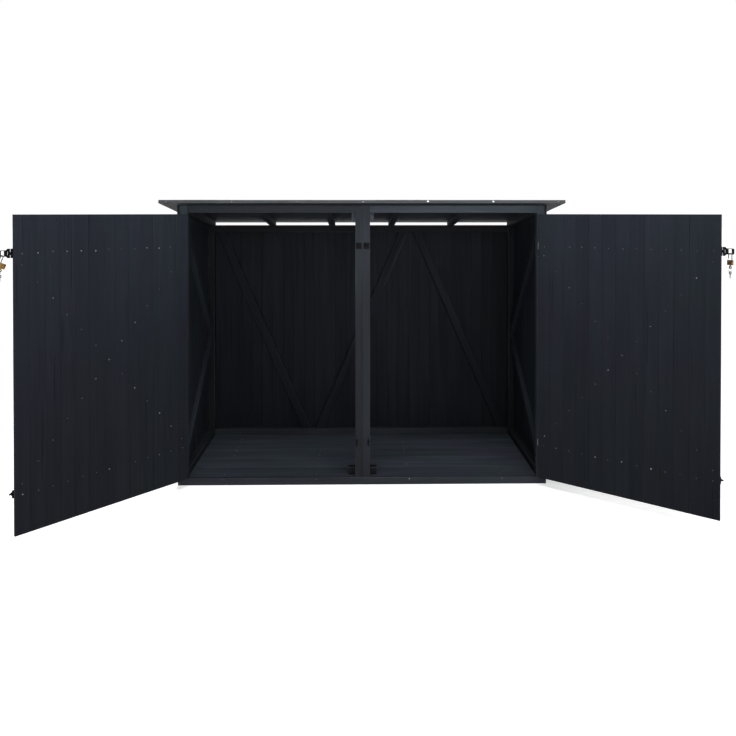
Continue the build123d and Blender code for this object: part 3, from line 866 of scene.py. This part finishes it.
filed = 0.0004                 # how far the edges of the ironmongery are taken off


def wrought(node, slot, material):
    """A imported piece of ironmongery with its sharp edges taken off."""
    mesh = smoothed(mesh_of(eased(node, filed, 1), node), 32)
    piece(f"{node}_iron", mesh, body_of(node), slot, material, node)


def screw_head(radius, rise):
    """A domed head with a cross recess."""
    head = fixing_head([(radius, rise * 0.25), (radius * 0.85, rise * 0.7), (radius * 0.5, rise * 0.95),
                        (0, rise)], 16)
    cutter = bmesh.new()
    for turned in (0, 1):
        arm = Vector((radius * 1.15, radius * 0.26, rise * 2))
        if turned:
            arm.x, arm.y = arm.y, arm.x
        box = bmesh.ops.create_cube(cutter, size=1.0)["verts"]
        bmesh.ops.scale(cutter, vec=arm, verts=box)
        bmesh.ops.translate(cutter, vec=(0, 0, rise * (1.1 + 0.02 * turned)), verts=box)
    return cut_out(head, mesh_of(cutter, "cross"))


bolt_dome = fixing_head([(0.0065, 0.0006), (0.0058, 0.0020), (0.0040, 0.0032), (0, 0.0038)], 14)
small_screw = screw_head(0.0038, 0.0016)
pin_dome = fixing_head([(0.0041, 0.0006), (0.0030, 0.0016), (0, 0.0020)], 14)

dull_zinc, tree, surface = finish("stained_over_zinc", **{"Specular IOR Level": 0.15})
rubbed = ramp(tree, noise(tree, own_place(tree), (90, 90, 60), 4.0, 0.65), 0.60, 0.72)
feed(tree, surface, blended(tree, rubbed, (0.018, 0.021, 0.026, 1), (0.16, 0.165, 0.17, 1)),
     ramp(tree, rubbed, 0, 1, 0.62, 0.45))
wrought("hinge_plates", "galvanised_steel", dull_zinc)
strap_thick = 0.0025
strap_fixings = ((bolt_dome, 0.060, 0.060, 1), (bolt_dome, 0.160, 0.160, 1),
                 (small_screw, 0.110, 0.110, 1), (small_screw, 0.215, 0.280, 2))
plate_column, plate_rises = 0.017, (-0.046, -0.026, 0.026, 0.046)
pin_end = 0.055                # from the middle of a hinge to the end of its pin
screw_drift = 0.0004
plate_screws, pin_caps = [], []


def screws_at(spots, seed, face, head, metal, wander=screw_drift):
    """Single screws at spots of X and Z on an upright face."""
    return [row_of(spot, spot, 1, seed, face, X, Z, wander, head=head, metal=metal) for spot in spots]


for word, side, seed in (("left", -1, 201), ("right", 1, 221)):
    wrought(f"{word}_door_hinges", "galvanised_steel", zinc)
    pin = pins[word]
    strap_face = Vector((0, closed_box(f"{word}_top_ledge")[0].y - strap_thick, 0))
    fixings = []
    for k, ledge in enumerate(("top_ledge", "bottom_ledge")):
        level = closed_level(f"{word}_{ledge}")
        for head, near, far, count in strap_fixings:
            fixings.append(row_of((pin.x - side * near, level), (pin.x - side * far, level), count,
                                  seed + k, strap_face, X, Z, screw_drift, head=head, metal=zinc))
        plate_screws += screws_at([(pin.x + side * plate_column, level + rise) for rise in plate_rises],
                                  seed + k, strap_face, small_screw, zinc)
        for end in (1, -1):
            cap = placed(pin_dome.copy(), Vector((pin.x, pin.y, level + end * pin_end)), X, Y * end)
            cap.materials.append(zinc)
            pin_caps.append(cap)
    hung(f"{word}_hinge_fixings", fixings, "galvanised_steel")
joined("hinge_plate_screws", plate_screws + pin_caps, "shelter", "galvanised_steel")

# Hasps, staples and bolts
# Black lacquered ironmongery: on each leaf a hasp and a small round bolt at the free edge, and on
# the centre post a staple and a keeper for each.

black, tree, surface = finish("black_lacquer", **{"Specular IOR Level": 0.04})
place = own_place(tree)
mottle = noise(tree, place, (160, 160, 160), 4.0)
chipped = noise(tree, place, (75, 75, 75), 5.0, 0.7)
colour = blended(tree, mottle, (0.0040, 0.0040, 0.0044, 1), (0.0080, 0.0080, 0.0088, 1))
colour = blended(tree, ramp(tree, chipped, 0.70, 0.76), colour, (0.050, 0.045, 0.042, 1))
feed(tree, surface, colour, ramp(tree, mottle, 0.3, 0.7, 0.46, 0.62), mottle, relief=0.00015)

wrought("staples", "black_steel", black)
wrought("bolt_keepers", "black_steel", black)
tiny_screw = screw_head(0.0030, 0.0013)
plate_thick, guide_thick = 0.0025, 0.0020
leaf_reaches, leaf_rise = (0.032, 0.056), 0.013            # a hasp leaf's screws, from its inner edge
guide_shares, guide_rise = (0.30, 0.70), 0.0115            # the screws of a bolt's guides
staple_shift, staple_rise, keeper_rise = 0.010, 0.011, 0.0128
staple_inset, keeper_inset = 0.015, 0.0045     # from a plate's outer edge to its staple and its screws
low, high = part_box("staples")
staple_x = {"left": low.x + staple_inset, "right": high.x - staple_inset}
low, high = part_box("bolt_keepers")
keeper_x = {"left": low.x + keeper_inset, "right": high.x - keeper_inset}
hasp_level = closed_level("left_top_ledge")
post_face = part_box("centre_post_left")[0].y


def plate_screws_at(columns, level, rise, seed, thick):
    """Small black screws above and below a level, in a plate this thick on the centre post's plane."""
    spots = [(x, level + way * rise) for x in columns for way in (-1, 1)]
    face = Vector((0, post_face - thick, 0))
    return screws_at(spots, seed, face, tiny_screw, black, 0.0003)


staple_screws = []
for word, side, seed in (("left", -1, 301), ("right", 1, 321)):
    for node in ("hasp_leaf", "hasp_strap", "bolt_guides", "bolt"):
        wrought(f"{word}_{node}", "black_steel", black)
    low, high = closed_box(f"{word}_hasp_leaf")
    inner_x = low.x if side > 0 else high.x
    screws = plate_screws_at([inner_x + side * reach for reach in leaf_reaches], hasp_level, leaf_rise,
                             seed, plate_thick)
    low, high = closed_box(f"{word}_bolt_guides")
    guide_level = closed_level(f"{word}_bolt_guides")
    screws += plate_screws_at([low.x + (high.x - low.x) * share for share in guide_shares], guide_level,
                              guide_rise, seed, guide_thick)
    hung(f"{word}_lock_screws", screws, "black_steel")
    staple = staple_x[word]
    staple_screws += plate_screws_at((staple - staple_shift, staple + staple_shift), hasp_level,
                                     staple_rise, seed, plate_thick)
    staple_screws += plate_screws_at((keeper_x[word],), guide_level, keeper_rise, seed, guide_thick)
joined("staple_screws", staple_screws, "shelter", "black_steel")

# Padlocks and keys
# A small brass padlock hangs open on each hasp strap, its drawn shackle through the slot, with one key
# in the lock and the spare on a ring below.


def bare_metal(name, dark, light, patch, dull, smooth):
    """A bare metal with tarnish in soft patches."""
    made, tree, surface = finish(name, Metallic=1.0)
    patches = noise(tree, own_place(tree), (patch,) * 3, 4.0, 0.6)
    feed(tree, surface, blended(tree, ramp(tree, patches, 0.35, 0.65), dark, light),
         ramp(tree, patches, 0.3, 0.7, dull, smooth), patches, relief=0.0001)
    return made


brass = bare_metal("tarnished_brass", (0.15, 0.085, 0.030, 1), (0.36, 0.225, 0.080, 1), 130, 0.58, 0.40)
plated = bare_metal("plated_steel", (0.055, 0.050, 0.048, 1), (0.17, 0.16, 0.155, 1), 240, 0.50, 0.32)

lock_width, lock_height, lock_thick = 0.0280, 0.0225, 0.0090
shackle_radius, shackle_half, shackle_bend = 0.0020, 0.0088, 0.0056
drawn, free_leg = 0.0270, 0.0215               # crown to lock, and crown to the free end
bow_radius, bow_hole, key_thick, blade_half = 0.0072, 0.0030, 0.0016, 0.0022
ring_radius, ring_wire = 0.0100, 0.0006
drill_radius, keyway_radius = 0.0023, 0.0036
key_gap, spare_blade = 0.0022, 0.0170          # lock to the bow of its key, and length of the spare's blade
crown_out, crown_drop = 0.0114, 0.0106         # the crown's place in front of the post, below the staple


def wire(points, radius, closed=False):
    """Round wire bent through these points."""
    curve = bpy.data.curves.new("wire", "CURVE")
    curve.dimensions = "3D"
    curve.bevel_depth = radius
    curve.bevel_resolution = 3
    curve.use_fill_caps = True
    spline = curve.splines.new("POLY")
    spline.points.add(len(points) - 1)
    for point, place in zip(spline.points, points):
        point.co = (*place, 1)
    spline.use_cyclic_u = closed
    made = bpy.data.objects.new("wire", curve)
    mesh = bpy.data.meshes.new_from_object(made)
    bpy.data.objects.remove(made)
    mesh.shade_smooth()
    return mesh


def arc(middle, radius, first, last, across=X, steps=8):
    """Points on an upright arc, its ends given in degrees."""
    turns = [radians(first + (last - first) * k / steps) for k in range(steps + 1)]
    return [middle + (across * cos(turn) + Z * sin(turn)) * radius for turn in turns]


def cut_plate(outline, thick):
    """A flat upright piece, cut to an outline of X and Z."""
    shape = bmesh.new()
    front, back = [[shape.verts.new((x, y, z)) for x, z in outline] for y in (-thick / 2, thick / 2)]
    shape.faces.new(front)
    shape.faces.new(back[::-1])
    for k in range(len(outline)):
        after = (k + 1) % len(outline)
        shape.faces.new((front[after], front[k], back[k], back[after]))
    bmesh.ops.recalc_face_normals(shape, faces=shape.faces)
    return mesh_of(shape, "plate")


def key(middle, blade_end, cuts=()):
    """A key hung by its round bow: a hole for the ring, and a blade cut on one edge."""
    bow = lathe([(bow_hole, 0), (bow_radius, 0), (bow_radius, key_thick), (bow_hole, key_thick),
                 (bow_hole, 0)], 24)
    bow.transform(Matrix.Translation((0, key_thick / 2, middle)) @ Matrix.Rotation(pi / 2, 4, "X"))
    root = middle + (bow_radius - 0.001) * (1 if blade_end > middle else -1)
    edge = [(blade_half - depth, root + (blade_end - root) * (0.30 + 0.08 * k))
            for k, depth in enumerate(cuts)]
    blade = cut_plate([(blade_half, root), *edge, (0.0012, blade_end), (-0.0008, blade_end),
                       (-blade_half, blade_end + (root - blade_end) * 0.1), (-blade_half, root)], key_thick)
    return [bow, blade]


def padlock(swung):
    """A drawn lock, upright, the middle of its crown just over the origin: lock, shackle, keys, spare."""
    long_foot = Vector((shackle_half, 0, -drawn - 0.002))
    free_foot = Vector((-shackle_half, 0, -free_leg))
    bend_x, bend_z = shackle_half - shackle_bend, shackle_radius - shackle_bend
    shackle = wire([free_foot, *arc(Vector((-bend_x, 0, bend_z)), shackle_bend, 180, 90),
                    *arc(Vector((bend_x, 0, bend_z)), shackle_bend, 90, 0), long_foot], shackle_radius)

    foot = -drawn - lock_height
    half = lock_width / 2
    slab = cut_plate([(-half, -drawn), (-half, foot), (half, foot), (half, -drawn)], lock_thick)
    lock = finished(slab, "BEVEL", width=0.0012, segments=3)
    drill = lathe([(0, -0.009), (drill_radius, -0.009), (drill_radius, 0.001), (0, 0.001)], 20)
    drill.transform(Matrix.Translation((-shackle_half, 0, -drawn)))
    lock = smoothed(cut_out(lock, drill), 40)
    keyway = lathe([(0, -0.0006), (keyway_radius, -0.0006), (keyway_radius, 0.0008), (0, 0.0008)], 20)
    keyway.transform(Matrix.Translation((0, 0, foot)))

    bow_middle = foot - key_gap - bow_radius
    ring_middle = bow_middle - bow_hole + ring_wire - ring_radius
    spare_middle = ring_middle - ring_radius + ring_wire - bow_hole
    ring = wire(arc(Vector((0, 0, ring_middle)), ring_radius, 0, 345, Y, 23), ring_wire, True)
    spare = key(spare_middle, spare_middle - bow_radius - spare_blade,
                (0.0003, 0.0011, 0.0005, 0.0013, 0.0004, 0.0009, 0.0003, 0.0010))
    about_leg = Matrix.Translation((shackle_half, 0, 0))
    about_leg = about_leg @ Matrix.Rotation(radians(swung), 4, "Z") @ about_leg.inverted()
    groups = [lock, keyway], [shackle], key(bow_middle, foot + 0.001), [ring, *spare]
    for group in (groups[0], groups[2], groups[3]):
        for mesh in group:
            mesh.transform(about_leg)
    return groups, about_leg @ Vector((0, 0, ring_middle + ring_radius))


for word, turned, swung, leaning in (("left", 216, 144, -22), ("right", 148, 0, 0)):
    seat = Matrix.Translation((staple_x[word], post_face - crown_out, hasp_level - crown_drop))
    (lock, shackle, in_lock, hanging), pivot = padlock(swung)
    upright = seat @ Matrix.Rotation(radians(turned), 4, "Z")
    leant = seat @ Matrix.Rotation(radians(leaning), 4, "Y") @ Matrix.Rotation(radians(turned), 4, "Z")
    for mesh in (*lock, *shackle, *in_lock):
        mesh.transform(swings[word] @ leant)
    for mesh in hanging:
        mesh.transform(swings[word] @ Matrix.Translation(leant @ pivot - upright @ pivot) @ upright)
    for label, meshes, metal, slot in (("padlock", lock, brass, None),
                                       ("shackle", shackle, plated, "galvanised_steel"),
                                       ("keys", in_lock + hanging, plated, "galvanised_steel")):
        for mesh in meshes:
            mesh.materials.clear()
            mesh.materials.append(metal)
        joined(f"{word}_{label}", meshes, f"{word}_hasp_flap", slot)

# Studio
# A plain pale floor and backdrop in soft light: one broad soft box overhead, one high at the front
# right, a weak one in front, and one behind for the back. The camera stands at eye height, almost
# level, with its lens shifted down.

photo_side = 736
focal_pixels = 701.8
principal_row = 219.5
camera_place = Vector((-0.0262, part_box("front_sill")[0].y - 3.606, 1.4028))
camera_yaw = radians(0.853)
camera_pitch = radians(0.564)

lens = bpy.data.cameras.new("camera")
lens.sensor_width = 36
lens.lens = focal_pixels / photo_side * lens.sensor_width
lens.shift_y = (principal_row - photo_side / 2) / photo_side
camera = set_up("camera", lens)
camera.location = camera_place
camera.rotation_euler = (pi / 2 - camera_pitch, 0, -camera_yaw)
bpy.context.scene.camera = camera

ground = bmesh.new()
bmesh.ops.create_grid(ground, x_segments=1, y_segments=1, size=60)
mesh = mesh_of(ground, "studio_floor")
pale, tree, surface = finish("studio_pale", **{"Base Color": (0.86, 0.86, 0.86, 1), "Roughness": 0.9,
                                               "Specular IOR Level": 0.1, "Emission Color": (1, 1, 1, 1)})
away = length_of(tree, own_place(tree))
tree.links.new(ramp(tree, away, 1.5, 7.0, 0.55, 1.0), surface.inputs["Emission Strength"])
mesh.materials.append(pale)
studio_floor = set_up("studio_floor", mesh)
studio_floor.location.z = -0.0005


def soft_box(name, place, target, width, height, watts, spread=180):
    """A soft box turned to a target, with a grid in front that narrows its light to a spread."""
    light = bpy.data.lights.new(name, "AREA")
    light.shape = "RECTANGLE"
    light.size, light.size_y, light.energy = width, height, watts
    light.spread = radians(spread)
    made = set_up(name, light)
    made.location = place
    made.rotation_euler = (Vector(target) - Vector(place)).to_track_quat("-Z", "Y").to_euler()


soft_box("top_light", (0, -2.4, 5.2), (0, -0.2, 0), 3.6, 2.0, 156)
soft_box("right_light", (3.6, -4.5, 3.0), (-0.3, 0, 0.6), 2.4, 2.2, 84)
soft_box("front_light", (0.4, -5.6, 2.1), (0.1, 0, 1.3), 2.4, 1.4, 18, 60)
soft_box("back_light", (-0.6, 4.6, 3.0), (0, 0.75, 0.6), 3.0, 2.0, 90, 80)

world = bpy.data.worlds.new("studio")
bpy.context.scene.world = world
world.use_nodes = True
tree = world.node_tree
tree.nodes.clear()
seen = add(tree, "ShaderNodeLightPath").outputs["Is Camera Ray"]
lit = add(tree, "ShaderNodeBackground", {"Color": (0.96, 0.98, 1.0, 1), "Strength": 0.15})
shown = add(tree, "ShaderNodeBackground", {"Color": (1, 1, 1, 1), "Strength": 1.0})
mixed = add(tree, "ShaderNodeMixShader", {0: seen, 1: lit.outputs[0], 2: shown.outputs[0]})
add(tree, "ShaderNodeOutputWorld", {0: mixed.outputs[0]})
bpy.context.scene.view_settings.view_transform = "Standard"
